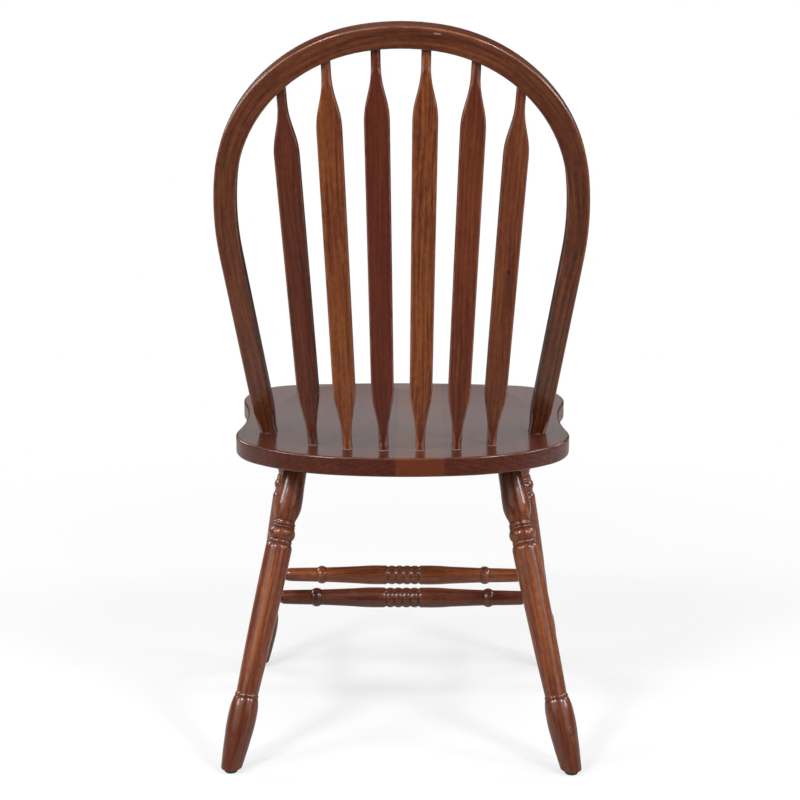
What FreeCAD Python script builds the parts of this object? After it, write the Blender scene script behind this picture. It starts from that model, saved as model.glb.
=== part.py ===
import FreeCAD, Part
import math
import os
import Sketcher

# Bow-back side chair with six arrow-shaped spindles, in millimetres.
# The chair faces -Y and its back is at +Y. +X is the sitter's left and the floor is Z = 0.

# SIDEWAYS points across the chair, turned a little so that no peg lies along it. Places
# within TOUCH of each other count as the same, and each cut takes away LEAST_CUT or more.
Vector = FreeCAD.Vector
SIDEWAYS = Vector(1, 0.01, 0)
TOUCH = 0.01
LEAST_CUT = 1
doc = FreeCAD.newDocument("BowBackChair")
sheet = doc.addObject("Spreadsheet::Sheet", "Dimensions")
stored = []


# The sheet of driving dimensions

def store(sizes):
    """Write named sizes to the sheet, one row each."""
    for alias, number in sizes.items():
        stored.append(alias)
        sheet.set(f"A{len(stored)}", alias.replace("_", " "))
        sheet.set(f"B{len(stored)}", str(number))
        sheet.setAlias(f"B{len(stored)}", alias)
    doc.recompute()


def cell(alias):
    return f"Dimensions.{alias}"


def size(alias):
    return float(sheet.get(alias))


def evaluate(expression):
    return float(sheet.evalExpression(expression))


store({
    "glue_gap": 0.05,
    "socket_spare": 1.0,
    "socket_lead": 8.0,
})

# The seat tilts down to the back. Its outline runs from the middle of the rear edge, over
# the shoulder and the waist, to the front corner and the middle of the front edge.
store({
    "seat_rear_y": 160.3,
    "seat_rear_height": 448.2,
    "seat_tilt": 2.76,
    "seat_thickness": 27.6,
    "seat_rear_bulge": 5.9,
    "seat_rear_radius": 577.0,
    "seat_rear_turn": 9.3,
    "seat_shoulder_radius": 249.4,
    "seat_shoulder_turn": 30.6,
    "seat_rear_corner_radius": 91.3,
    "seat_rear_corner_turn": 60.88,
    "seat_waist_radius": 339.0,
    "seat_waist_turn": 26.59,
    "seat_side_radius": 105.3,
    "seat_side_turn": 32.61,
    "seat_front_corner_radius": 87.6,
    "seat_front_corner_turn": 64.1,
    "seat_top_edge_radius": 3.0,
    "seat_bottom_edge_radius": 3.5,
    "saddle_x": 78.0,
    "saddle_from_rear": 262.0,
    "saddle_centre_above": 120.0,
    "saddle_depth": 4.0,
    "saddle_reach_x": 468.0,
    "saddle_reach_y": 647.0,
})

# The bow is bent from one square stick and leans back from the seat.
store({
    "bow_foot_y": 37.3,
    "bow_lean": 21.5,
    "bow_top": 608.4,
    "bow_width": 30.6,
    "bow_thickness": 22.0,
    "bow_crown_radius": 306.0,
    "bow_crown_turn": 9.2,
    "bow_shoulder_radius": 224.3,
    "bow_shoulder_turn": 73.4,
    "bow_side_radius": 468.3,
    "bow_side_turn": 14.56,
    "bow_straight": 257.5,
    "bow_foot_taper": 60.0,
    "bow_foot_outer_slimming": 3.8,
    "bow_foot_inner_slimming": 1.6,
    "bow_foot_below_seat": 40.0,
    "bow_foot_radius": 12.9,
    "bow_foot_round_length": 3.0,
    "bow_foot_round_curve": 150.0,
    "bow_foot_round_turn": 20.0,
    "bow_foot_round_outside": 40.0,
    "bow_edge_radius": 3.0,
    "bow_tenon_radius": 8.0,
    "bow_tenon_length": 20.0,
})

# A spindle is flat and widest just below its upper shoulder. Heights run from the seat,
# and the falls run down from where the spindle enters the bow.
store({
    "spindle_thickness": 14.0,
    "spindle_foot_radius": 7.05,
    "spindle_head_radius": 6.35,
    "spindle_foot_tenon": 18.0,
    "spindle_head_tenon": 16.0,
    "blade_bottom_half": 15.9,
    "blade_top_half": 17.0,
    "lower_shoulder_rise": 49.4,
    "lower_shoulder_curve": 134.0,
    "upper_shoulder_rise": 44.1,
    "upper_shoulder_curve": 124.0,
    "upper_corner_curve": 115.7,
    "spindle_edge_radius": 3.2,
    "spindle_shortest_run": 20.0,
    "spindle_round_length": 8.0,
    "spindle_round_curve": 150.0,
    "spindle_round_turn": 30.0,
    "spindle_round_outside": 40.0,
    "spindle_aim_depth": 8.0,
})

# For each pair of spindles, from the middle outwards: where its foot and head stand, and
# where its lower and upper shoulders begin.
SPINDLE_PAIRS = {
    "inner": {"foot_x": 25.9, "foot_y": 119.6, "head_x": 32.7, "neck": 37.3, "fall": 38.6},
    "middle": {"foot_x": 77.6, "foot_y": 114.1, "head_x": 97.3, "neck": 34.3, "fall": 33.5},
    "outer": {"foot_x": 128.3, "foot_y": 93.2, "head_x": 156.5, "neck": 30.3, "fall": 32.3},
}
for pair, sizes in SPINDLE_PAIRS.items():
    store({f"{pair}_spindle_{name}": number for name, number in sizes.items()})

# Where the axis of each leg crosses the floor and the underside of the seat.
store({
    "rear_leg_foot_x": 243.5,
    "rear_leg_foot_y": 215.4,
    "rear_leg_top_x": 152.0,
    "rear_leg_top_y": 59.3,
    "front_leg_foot_x": 243.0,
    "front_leg_foot_y": -204.0,
    "front_leg_top_x": 171.0,
    "front_leg_top_y": -168.7,
    "leg_root_radius": 16.0,
    "leg_root_below_seat": 8.0,
    "leg_tenon_radius": 14.4,
    "leg_tenon_length": 16.0,
    "glide_radius": 9.5,
    "glide_sole_radius": 8.0,
    "glide_dome_height": 2.2,
    "glide_dome_bulge": 0.45,
    "glide_height": 5.5,
    "foot_edge_radius": 2.0,
    "nail_radius": 1.25,
    "nail_length": 18.0,
    "nail_from_floor": 1.5,
})

# The turned profile of a leg: distance along the axis from the floor, radius, and how far
# the curve to the next point stands off the straight line, outwards or inwards.
LEG_TURNING = {
    "toe": (-8.0, 13.2, 0.0),
    "ankle": (16.0, 15.7, 0.25),
    "calf": (50.0, 19.0, 0.75),
    "foot_swell": (88.0, 20.25, 0.3),
    "foot_shoulder": (100.0, 18.75, 0.35),
    "foot_notch": (106.6, 16.9, 0.0),
    "foot_ring": (107.2, 16.9, 0.75),
    "foot_groove": (112.8, 15.85, 0.9),
    "shaft_top": (324.5, 19.35, 0.7),
    "collar_groove": (331.6, 16.7, 0.0),
    "lower_ring": (332.3, 16.7, 0.75),
    "bead_groove": (337.4, 16.4, 0.0),
    "bead": (338.3, 16.6, 3.1),
    "ring_one": (354.6, 16.4, 1.0),
    "ring_two": (359.0, 16.1, 1.0),
    "cove": (363.2, 15.8, -0.5),
    "vase_lip": (368.6, 16.2, 0.0),
    "vase": (370.2, 16.6, 0.95),
    "vase_belly": (389.0, 20.3, 0.3),
    "vase_neck": (412.0, 18.6, -0.1),
    "neck": (436.0, 16.95, 0.0),
}
for name, (along, radius, bulge) in LEG_TURNING.items():
    store({f"leg_{name}_at": along, f"leg_{name}_radius": radius})

# Half of each stretcher, from its middle outwards, in the same three numbers.
SIDE_STRETCHER_TURNING = {
    "side_middle": (0.0, 15.1, 0.35),
    "side_swell": (65.0, 14.1, 0.1),
    "side_neck": (105.5, 12.2, 2.0),
    "side_collar": (118.5, 11.8, 0.0),
}
CROSS_STRETCHER_TURNING = {
    "cross_middle": (0.0, 13.1, 1.9),
    "cross_bead": (12.2, 13.0, 1.9),
    "cross_groove": (24.2, 12.9, 0.95),
    "cross_swell": (31.0, 14.9, 0.6),
    "cross_taper": (71.0, 13.7, -0.1),
    "cross_neck": (122.2, 11.6, 2.6),
    "cross_collar": (135.6, 11.35, 0.1),
    "cross_wrist": (179.0, 10.4, 0.2),
}
for turning in (SIDE_STRETCHER_TURNING, CROSS_STRETCHER_TURNING):
    for name, (along, radius, bulge) in turning.items():
        store({f"{name}_at": along, f"{name}_radius": radius})

store({
    "side_stretcher_rear_height": 208.0,
    "side_stretcher_front_height": 190.0,
    "side_tenon_radius": 9.0,
    "side_tenon_length": 27.0,
    "rear_cross_stretcher_y": 42.3,
    "front_cross_stretcher_y": -88.7,
    "cross_tenon_radius": 8.7,
    "cross_tenon_length": 21.0,
    "stretcher_socket_length": 34.0,
})


# Frames and lines of the chair

def frame(origin, z_axis, x_hint):
    """A placement whose Z follows z_axis and whose X lies as near x_hint as it can."""
    z_axis = Vector(z_axis).normalize()
    y_axis = z_axis.cross(x_hint).normalize()
    return FreeCAD.Placement(origin, FreeCAD.Rotation(y_axis.cross(z_axis), y_axis, z_axis, "ZYX"))


def direction(start, end):
    return (end - start).normalize()


def seat_surface(x, y):
    """The point of the seat's flat top plane at x, y."""
    rise = (size("seat_rear_y") - y) * math.tan(math.radians(size("seat_tilt")))
    return Vector(x, y, size("seat_rear_height") + rise)


def seat_underside(x, y):
    depth = size("seat_thickness") / math.cos(math.radians(size("seat_tilt")))
    return seat_surface(x, y) - Vector(0, 0, depth)


def leg_axis(end, side):
    """The floor end and the seat end of a leg's axis; side is 1 for the sitter's left."""
    foot = Vector(side * size(f"{end}_leg_foot_x"), size(f"{end}_leg_foot_y"), 0)
    top = seat_underside(side * size(f"{end}_leg_top_x"), size(f"{end}_leg_top_y"))
    return foot, top


def on_line(start, end, axis, number):
    """The point of a line where one of its coordinates has a given value."""
    return start + (end - start) * ((number - start[axis]) / (end[axis] - start[axis]))


def side_stretcher_axis(side):
    rear = on_line(*leg_axis("rear", side), 2, size("side_stretcher_rear_height"))
    front = on_line(*leg_axis("front", side), 2, size("side_stretcher_front_height"))
    return rear, front


def cross_stretcher_end(end, side):
    return on_line(*side_stretcher_axis(side), 1, size(f"{end}_cross_stretcher_y"))


def bow_frame():
    foot = seat_surface(0, size("bow_foot_y"))
    return FreeCAD.Placement(foot, FreeCAD.Rotation(Vector(1, 0, 0), 90 - size("bow_lean")))


def bow_inner_top(x):
    """Height of the bow's inner edge above x, up its lean, at the crown or the shoulder."""
    turn = math.radians(size("bow_crown_turn"))
    crown = size("bow_crown_radius")
    shoulder = size("bow_shoulder_radius")
    half = size("bow_width") / 2
    crown_centre = size("bow_top") - crown
    if x <= (crown - half) * math.sin(turn):
        return crown_centre + math.sqrt((crown - half) ** 2 - x ** 2)
    offset = x - (crown - shoulder) * math.sin(turn)
    centre = crown_centre + (crown - shoulder) * math.cos(turn)
    return centre + math.sqrt((shoulder - half) ** 2 - offset ** 2)


def spindle_axis(pair, side):
    """Where a spindle's axis meets the seat and the inner edge of the bow."""
    head_x = size(f"{pair}_spindle_head_x")
    aim_height = bow_inner_top(head_x) + size("spindle_aim_depth")
    aim = Vector(side * head_x, aim_height, size("bow_thickness") / 2)
    foot = seat_surface(side * size(f"{pair}_spindle_foot_x"), size(f"{pair}_spindle_foot_y"))
    aim = bow_frame().multVec(aim)
    return foot, aim - direction(foot, aim) * size("spindle_aim_depth")


# Lengths that follow from where the legs stand. The turnings of the front legs stand at the
# same heights as those of the rear legs.
rear_axis = leg_axis("rear", 1)
front_axis = leg_axis("front", 1)
store({
    "rear_leg_length": round(rear_axis[0].distanceToPoint(rear_axis[1]), 4),
    "front_leg_length": round(front_axis[0].distanceToPoint(front_axis[1]), 4),
    "front_leg_stretch": round(direction(*rear_axis).z / direction(*front_axis).z, 4),
    "side_stretcher_half_length": round(
        side_stretcher_axis(1)[0].distanceToPoint(side_stretcher_axis(1)[1]) / 2, 4),
    "cross_stretcher_rear_half_length": round(cross_stretcher_end("rear", 1).x, 4),
    "cross_stretcher_front_half_length": round(cross_stretcher_end("front", 1).x, 4),
})


# Outlines, drawn as runs of lines (two points) and arcs (three points)

def walk(start, heading, steps):
    """Follow tangent lines (length, 0) and arcs (radius, turn), turning left if positive."""
    x, y = start
    run = []
    for reach, turn in steps:
        if turn == 0:
            end = step_from((x, y), reach, heading)
            run.append([(x, y), end])
        else:
            side = math.copysign(90, turn)
            centre = step_from((x, y), reach, heading + side)
            middle = step_from(centre, reach, heading - side + turn / 2)
            end = step_from(centre, reach, heading - side + turn)
            run.append([(x, y), middle, end])
            heading += turn
        x, y = end
    return run


def step_from(point, reach, heading):
    angle = math.radians(heading)
    return point[0] + reach * math.cos(angle), point[1] + reach * math.sin(angle)


def mirrored(run):
    """The same run on the other side of the vertical axis, drawn the other way round."""
    return [[(-x, y) for x, y in reversed(piece)] for piece in reversed(run)]


def backwards(run):
    return [list(reversed(piece)) for piece in reversed(run)]


def blended(corners, radii):
    """A run through the corners, with an arc of its own radius tangent at each inner one."""
    run = []
    last = corners[0]
    for before, corner, after, radius in zip(corners, corners[1:], corners[2:], radii):
        entering = math.atan2(corner[1] - before[1], corner[0] - before[0])
        leaving = math.atan2(after[1] - corner[1], after[0] - corner[0])
        turn = math.degrees(leaving - entering)
        trim = radius * math.tan(math.radians(abs(turn)) / 2)
        start = step_from(corner, -trim, math.degrees(entering))
        run.append([last, start])
        run += walk(start, math.degrees(entering), [(radius, turn)])
        last = run[-1][-1]
    run.append([last, corners[-1]])
    return run


def bowed(start, end, bulge):
    """A line, or an arc that stands off it to the right of the way it is drawn."""
    if bulge == 0:
        return [start, end]
    along = (end[0] - start[0], end[1] - start[1])
    length = math.hypot(*along)
    middle = ((start[0] + end[0]) / 2 + bulge * along[1] / length,
              (start[1] + end[1]) / 2 - bulge * along[0] / length)
    return [start, middle, end]


def which_end(sketch, index, point):
    """1 or 2, for the end of a sketch edge that lies at a point."""
    target = Vector(point[0], point[1], 0)
    nearer = sketch.getPoint(index, 1).distanceToPoint(target)
    return 1 if nearer < sketch.getPoint(index, 2).distanceToPoint(target) else 2


def draw(sketch, run):
    """Draw a closed run and join its pieces end to end."""
    for piece in run:
        points = [Vector(x, y, 0) for x, y in piece]
        make = Part.LineSegment if len(points) == 2 else Part.Arc
        sketch.addGeometry(make(*points), False)
    joints = []
    for index, piece in enumerate(run):
        following = (index + 1) % len(run)
        joints.append(Sketcher.Constraint(
            "Coincident",
            index, which_end(sketch, index, piece[-1]),
            following, which_end(sketch, following, piece[-1])))
    sketch.addConstraint(joints)


def drive(sketch, constraint, expression):
    """Add a sketch dimension and let the sheet set it."""
    number = sketch.addConstraint(constraint)
    sketch.setExpression(f"Constraints[{number}]", expression)


def drive_radius(sketch, index, expression):
    drive(sketch, Sketcher.Constraint("Radius", index, evaluate(expression)), expression)


def drive_point(sketch, index, point, expressions):
    """Hold one end of a sketch edge at distances from the sketch's origin."""
    vertex = which_end(sketch, index, point)
    for kind, number, expression in zip(("DistanceX", "DistanceY"), point, expressions):
        if number < 0:
            rule = Sketcher.Constraint(kind, index, vertex, -1, 1, -number)
            expression = f"-({expression})"
        else:
            rule = Sketcher.Constraint(kind, -1, 1, index, vertex, number)
        drive(sketch, rule, expression)


# Bodies and features

def new_body(name, placement):
    body = doc.addObject("PartDesign::Body", name)
    body.Label = name
    body.Placement = placement
    return body


def new_sketch(body, name, role):
    sketch = body.newObject("Sketcher::SketchObject", name)
    plane = next(item for item in body.Origin.OriginFeatures if item.Role == role)
    sketch.AttachmentSupport = [(plane, "")]
    sketch.MapMode = "FlatFace"
    return sketch


def sketched(body, kind, sketch, length="", side="One side", reverse=False):
    """A pad, pocket, revolution or groove of a sketch."""
    feature = body.newObject(f"PartDesign::{kind}", f"{sketch.Name}_{kind}")
    feature.Profile = sketch
    if kind in ("Pad", "Pocket"):
        feature.SideType = side
        feature.setExpression("Length", length)
        feature.Reversed = reverse
    else:
        feature.ReferenceAxis = (sketch, ["V_Axis"])
        feature.Angle = 360
    doc.recompute()
    return feature


def round_edges(body, name, base, radius, wanted):
    """Round the edges of a feature that pass a test."""
    edges = [f"Edge{number}" for number, edge in enumerate(base.Shape.Edges, 1) if wanted(edge)]
    feature = body.newObject("PartDesign::Fillet", f"{body.Name}_{name}")
    feature.Base = (base, edges)
    feature.setExpression("Radius", radius)
    doc.recompute()
    return feature


def primitive(body, kind, name, placement, sizes):
    """A primitive of a body, placed in the chair's frame, with its sizes set by the sheet."""
    feature = body.newObject(f"PartDesign::{kind}", f"{body.Name}_{name}")
    feature.Placement = body.Placement.inverse().multiply(placement)
    for property_name, expression in sizes.items():
        feature.setExpression(property_name, expression)
    doc.recompute()
    return feature


def socket(body, name, peg_end, outward, radius, length):
    """A blind round hole around a peg, from just beyond its end to outside the surface."""
    bottom = peg_end - Vector(outward).normalize() * size("socket_spare")
    before = body.Tip.Shape.Volume
    feature = primitive(body, "SubtractiveCylinder", name,
                        frame(bottom, outward, SIDEWAYS),
                        {"Radius": f"{radius} + {cell('glue_gap')}",
                         "Height": f"{length} + {cell('socket_spare')}"})
    if before - feature.Shape.Volume < LEAST_CUT:
        raise ValueError(f"{name} of {body.Name} cuts nothing")


def turned(body, stations):
    """Revolve a half profile of (place, radius, bulge) stations about the body's Z axis."""
    sketch = new_sketch(body, f"{body.Name}_profile", "XZ_Plane")
    corners = [(evaluate(radius), evaluate(place)) for place, radius, bulge in stations]
    bottom = (0, corners[0][1])
    top = (0, corners[-1][1])
    run = [[bottom, corners[0]]]
    for (place, radius, bulge), start, end in zip(stations, corners, corners[1:]):
        run.append(bowed(start, end, bulge))
    run += [[corners[-1], top], [top, bottom]]
    draw(sketch, run)
    last = len(run) - 1
    sketch.addConstraint([
        Sketcher.Constraint("Horizontal", 0),
        Sketcher.Constraint("Horizontal", last - 1),
        Sketcher.Constraint("PointOnObject", 0, which_end(sketch, 0, bottom), -2),
        Sketcher.Constraint("PointOnObject", last - 1, which_end(sketch, last - 1, top), -2),
    ])
    for index, ((place, radius, bulge), corner) in enumerate(zip(stations, corners)):
        drive_point(sketch, index, corner, (radius, place))
        if bulge:
            sketch.addConstraint(Sketcher.Constraint(
                "Radius", index + 1, sketch.Geometry[index + 1].Radius))
    return sketched(body, "Revolution", sketch)


def both_ways(half):
    """Carry stations that run outwards from the middle to the other side as well."""
    other = []
    for (place, radius, bulge), inner in zip(reversed(half), reversed(half[:-1])):
        other.append((f"-({place})", radius, inner[-1]))
    return other + half


# Seat

seat_frame = FreeCAD.Placement(
    seat_surface(0, size("seat_rear_y")),
    FreeCAD.Rotation(Vector(1, 0, 0), -size("seat_tilt")))
seat = new_body("seat", seat_frame)
seat_outline = new_sketch(seat, "seat_outline", "XY_Plane")
SEAT_ARCS = [("rear", -1), ("shoulder", -1), ("rear_corner", -1), ("waist", 1),
             ("side", -1), ("front_corner", -1)]
seat_steps = [(size(f"seat_{arc}_radius"), side * size(f"seat_{arc}_turn"))
              for arc, side in SEAT_ARCS]
seat_half = walk((0, size("seat_rear_bulge")), 0, seat_steps)
front_turn = 180 + sum(turn for radius, turn in seat_steps)
front_start = seat_half[-1][-1]
front_radius = front_start[0] / math.sin(math.radians(front_turn))
seat_half += walk(front_start, front_turn - 180, [(front_radius, -front_turn)])
draw(seat_outline, seat_half + mirrored(seat_half))
for index, (arc, side) in enumerate(SEAT_ARCS):
    radius_cell = cell(f"seat_{arc}_radius")
    drive_radius(seat_outline, index, radius_cell)
    drive_radius(seat_outline, 2 * len(seat_half) - 1 - index, radius_cell)
board = sketched(seat, "Pad", seat_outline, cell("seat_thickness"), reverse=True)


def runs_at(height):
    """A test for edges that lie at one height of a body."""
    return lambda edge: abs(edge.CenterOfMass.z - height) < TOUCH


lower_rounding = round_edges(seat, "bottom_edge", board, cell("seat_bottom_edge_radius"),
                             runs_at(-size("seat_thickness")))
round_edges(seat, "top_edge", lower_rounding, cell("seat_top_edge_radius"), runs_at(0))

# Two shallow hollows for the thighs meet in a low ridge and end just inside the front edge.
for side, name in ((1, "left"), (-1, "right")):
    centre = Vector(side * size("saddle_x"), -size("saddle_from_rear"), size("saddle_centre_above"))
    primitive(seat, "SubtractiveEllipsoid", f"saddle_{name}",
              seat_frame.multiply(FreeCAD.Placement(centre, FreeCAD.Rotation())),
              {"Radius1": f"{cell('saddle_centre_above')} + {cell('saddle_depth')}",
               "Radius2": cell("saddle_reach_x"),
               "Radius3": cell("saddle_reach_y")})

# Bow

bow = new_body("bow", bow_frame())
bow_outline = new_sketch(bow, "bow_outline", "XY_Plane")
BOW_ARCS = ("crown", "shoulder", "side")
half_width = size("bow_width") / 2
leg_heading = -sum(size(f"bow_{arc}_turn") for arc in BOW_ARCS)
bow_runs = []
for offset, slimming in ((half_width, -size("bow_foot_outer_slimming")),
                         (-half_width, size("bow_foot_inner_slimming"))):
    foot_run = math.hypot(slimming, size("bow_foot_taper"))
    foot_slope = math.degrees(math.atan2(slimming, size("bow_foot_taper")))
    steps = [(size(f"bow_{arc}_radius") + offset, -size(f"bow_{arc}_turn")) for arc in BOW_ARCS]
    run = walk((0, size("bow_top") + offset), 0, steps + [(size("bow_straight"), 0)])
    bow_runs.append(run + walk(run[-1][-1], leg_heading + foot_slope, [(foot_run, 0)]))
outer_run, inner_run = bow_runs
foot_cap = [[outer_run[-1][-1], inner_run[-1][-1]]]
bow_half = outer_run + foot_cap + backwards(inner_run)
draw(bow_outline, bow_half + mirrored(bow_half))
for index, arc in enumerate(BOW_ARCS):
    for place, sign in ((index, "+"), (len(bow_half) - 1 - index, "-")):
        radius_rule = f"{cell(f'bow_{arc}_radius')} {sign} {cell('bow_width')} / 2"
        drive_radius(bow_outline, place, radius_rule)
        drive_radius(bow_outline, 2 * len(bow_half) - 1 - place, radius_rule)
stick = sketched(bow, "Pad", bow_outline, cell("bow_thickness"))
cap_height = foot_cap[0][0][1]


def on_bow_face(edge):
    """Whether an edge is a long one on the front or the rear face of the bow."""
    middle = edge.CenterOfMass
    flat = abs(middle.z) < TOUCH or abs(middle.z - size("bow_thickness")) < TOUCH
    return flat and middle.y > cap_height + size("bow_edge_radius")


round_edges(bow, "long_edges", stick, cell("bow_edge_radius"), on_bow_face)

# The feet of the bow are cut to the slope of the seat.
foot_cut = new_sketch(bow, "bow_foot_cut", "YZ_Plane")
seat_slope = math.tan(math.radians(size("bow_lean") - size("seat_tilt")))
near = -size("bow_thickness")
far = 2 * size("bow_thickness")
below = -2 * size("bow_foot_taper")
cut_corners = [(-seat_slope * near, near), (-seat_slope * far, far), (below, far), (below, near)]
draw(foot_cut, [[corner, cut_corners[(index + 1) % 4]] for index, corner in enumerate(cut_corners)])
before_cut = bow.Tip.Shape.Volume
sketched(bow, "Pocket", foot_cut, f"4 * {cell('bow_shoulder_radius')}", side="Symmetric")
if before_cut - bow.Tip.Shape.Volume < LEAST_CUT:
    raise ValueError("The feet of the bow are not cut")


def round_end(body, name, sketch, radius, tip, surface, up, style):
    """Turn one end of a flat stick round, with a curve that runs out on its shoulder."""
    outside = size(f"{style}_round_outside")
    beyond = size("socket_spare")
    start = (radius, tip - up * beyond)
    straight = beyond + abs(surface - tip) + size(f"{style}_round_length")
    run = walk(start, 90 * up, [(straight, 0), (size(f"{style}_round_curve"),
                                                -up * size(f"{style}_round_turn"))])
    far_corner = (outside, run[-1][-1][1])
    run += [[run[-1][-1], far_corner], [far_corner, (outside, start[1])],
            [(outside, start[1]), start]]
    draw(sketch, run)
    drive_radius(sketch, 1, cell(f"{style}_round_curve"))
    before = body.Tip.Shape.Volume
    if before - sketched(body, "Groove", sketch).Shape.Volume < LEAST_CUT:
        raise ValueError(f"{name} is not rounded")


# Each foot of the bow is worked round at the seat. It has a round tenon on the line of its
# leg, and the seat has a socket for it.
foot_direction = Vector(math.cos(math.radians(leg_heading)), math.sin(math.radians(leg_heading)), 0)
leg_start = outer_run[2][-1]
centre_start = Vector(leg_start[0], leg_start[1], size("bow_thickness") / 2)
centre_start += Vector(-foot_direction.y, foot_direction.x, 0) * -half_width
seat_level = -seat_slope * size("bow_thickness") / 2
for side, name in ((1, "left"), (-1, "right")):
    along = Vector(side * foot_direction.x, foot_direction.y, 0)
    start = Vector(side * centre_start.x, centre_start.y, centre_start.z)
    shoulder = start + along * ((seat_level - start.y) / along.y)
    round_sketch = new_sketch(bow, f"bow_foot_round_{name}", "XY_Plane")
    lean = math.degrees(math.atan2(along.x, -along.y))
    round_sketch.AttachmentOffset = FreeCAD.Placement(
        shoulder, FreeCAD.Rotation(Vector(0, 0, 1), lean))
    round_end(bow, f"bow_foot_{name}", round_sketch, size("bow_foot_radius"),
              -size("bow_foot_below_seat"), 0, 1, "bow_foot")
    root = bow_frame().multVec(shoulder - along * size("bow_tenon_radius"))
    end = bow_frame().multVec(shoulder + along * size("bow_tenon_length"))
    primitive(bow, "AdditiveCylinder", f"tenon_{name}",
              frame(root, end - root, Vector(1, 0, 0)),
              {"Radius": cell("bow_tenon_radius"),
               "Height": f"{cell('bow_tenon_length')} + {cell('bow_tenon_radius')}"})
    socket(seat, f"bow_socket_{name}", end, root - end, cell("bow_tenon_radius"),
           f"{cell('bow_tenon_length')} + {cell('socket_lead')}")

# Spindles


def make_spindle(name, pair, side):
    """One arrow-shaped spindle, with its sockets in the seat and the bow."""
    foot, head = spindle_axis(pair, side)
    axis = direction(foot, head)
    length = foot.distanceToPoint(head)
    body = new_body(name, frame(foot, axis, Vector(0, 1, 0).cross(axis)))
    lower = size(f"{pair}_spindle_neck")
    upper = length - size(f"{pair}_spindle_fall")
    corners = [
        (size("spindle_foot_radius"), -size("spindle_foot_tenon")),
        (size("spindle_foot_radius"), lower),
        (size("blade_bottom_half"), lower + size("lower_shoulder_rise")),
        (size("blade_top_half"), upper - size("upper_shoulder_rise")),
        (size("spindle_head_radius"), upper),
        (size("spindle_head_radius"), length + size("spindle_head_tenon")),
    ]
    curves = ["lower_shoulder_curve", "lower_shoulder_curve",
              "upper_corner_curve", "upper_shoulder_curve"]
    edge = blended(corners, [size(curve) for curve in curves])
    outline = new_sketch(body, f"{name}_outline", "XZ_Plane")
    top = [[corners[-1], (-corners[-1][0], corners[-1][1])]]
    bottom = [[(-corners[0][0], corners[0][1]), corners[0]]]
    run = edge + top + mirrored(edge) + bottom
    draw(outline, run)
    for index, curve in enumerate(curves):
        drive_radius(outline, 2 * index + 1, cell(curve))
        drive_radius(outline, len(run) - 3 - 2 * index, cell(curve))
    blank = sketched(body, "Pad", outline, cell("spindle_thickness"), side="Symmetric")
    half = size("spindle_thickness") / 2
    round_edges(body, "long_edges", blank, cell("spindle_edge_radius"),
                lambda item: (abs(abs(item.CenterOfMass.y) - half) < TOUCH
                              and item.Length > size("spindle_shortest_run")))
    ends = (("foot", -size("spindle_foot_tenon"), 0, 1),
            ("head", length + size("spindle_head_tenon"), length, -1))
    for end, tip, surface, up in ends:
        round_sketch = new_sketch(body, f"{name}_{end}_round", "XZ_Plane")
        round_end(body, f"{name}_{end}", round_sketch, size(f"spindle_{end}_radius"),
                  tip, surface, up, "spindle")
    socket(seat, f"{name}_socket", foot - axis * size("spindle_foot_tenon"), axis,
           cell("spindle_foot_radius"), f"{cell('spindle_foot_tenon')} + {cell('socket_lead')}")
    socket(bow, f"{name}_socket", head + axis * size("spindle_head_tenon"), -axis,
           cell("spindle_head_radius"), f"{cell('spindle_head_tenon')} + {cell('socket_lead')}")


SPINDLES = [("outer", 1), ("middle", 1), ("inner", 1), ("inner", -1), ("middle", -1), ("outer", -1)]
for number, (pair, side) in enumerate(SPINDLES, 1):
    make_spindle(f"spindle_{number}", pair, side)

# Side stretchers


def hand(side):
    return "left" if side > 0 else "right"


def make_stretcher(name, start, end, turning, tenon, half_length):
    """A turned stretcher between two points, with a plain round tenon at each end."""
    body = new_body(name, frame((start + end) / 2, end - start, Vector(0, 0, 1)))
    half = [(cell(f"{station}_at"), cell(f"{station}_radius"), bulge)
            for station, (along, radius, bulge) in turning.items()]
    tenon_end = cell(half_length)
    tenon_start = f"{tenon_end} - {cell(f'{tenon}_tenon_length')}"
    half.append((tenon_start, cell(f"{tenon}_tenon_radius"), 0))
    half.append((tenon_end, cell(f"{tenon}_tenon_radius"), 0))
    turned(body, both_ways(half))
    return body


side_stretchers = {}
for side in (1, -1):
    rear, front = side_stretcher_axis(side)
    side_stretchers[side] = make_stretcher(
        f"side_stretcher_{hand(side)}", rear, front, SIDE_STRETCHER_TURNING, "side",
        "side_stretcher_half_length")

# Cross stretchers, between the side stretchers

for end in ("rear", "front"):
    name = f"cross_stretcher_{end}"
    right = cross_stretcher_end(end, -1)
    left = cross_stretcher_end(end, 1)
    make_stretcher(name, right, left, CROSS_STRETCHER_TURNING, "cross", f"{name}_half_length")
    for side, peg_end, inwards in ((1, left, right - left), (-1, right, left - right)):
        socket(side_stretchers[side], f"{name}_socket", peg_end, inwards,
               cell("cross_tenon_radius"), cell("stretcher_socket_length"))

# Legs, with a nail-on glide under each


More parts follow.
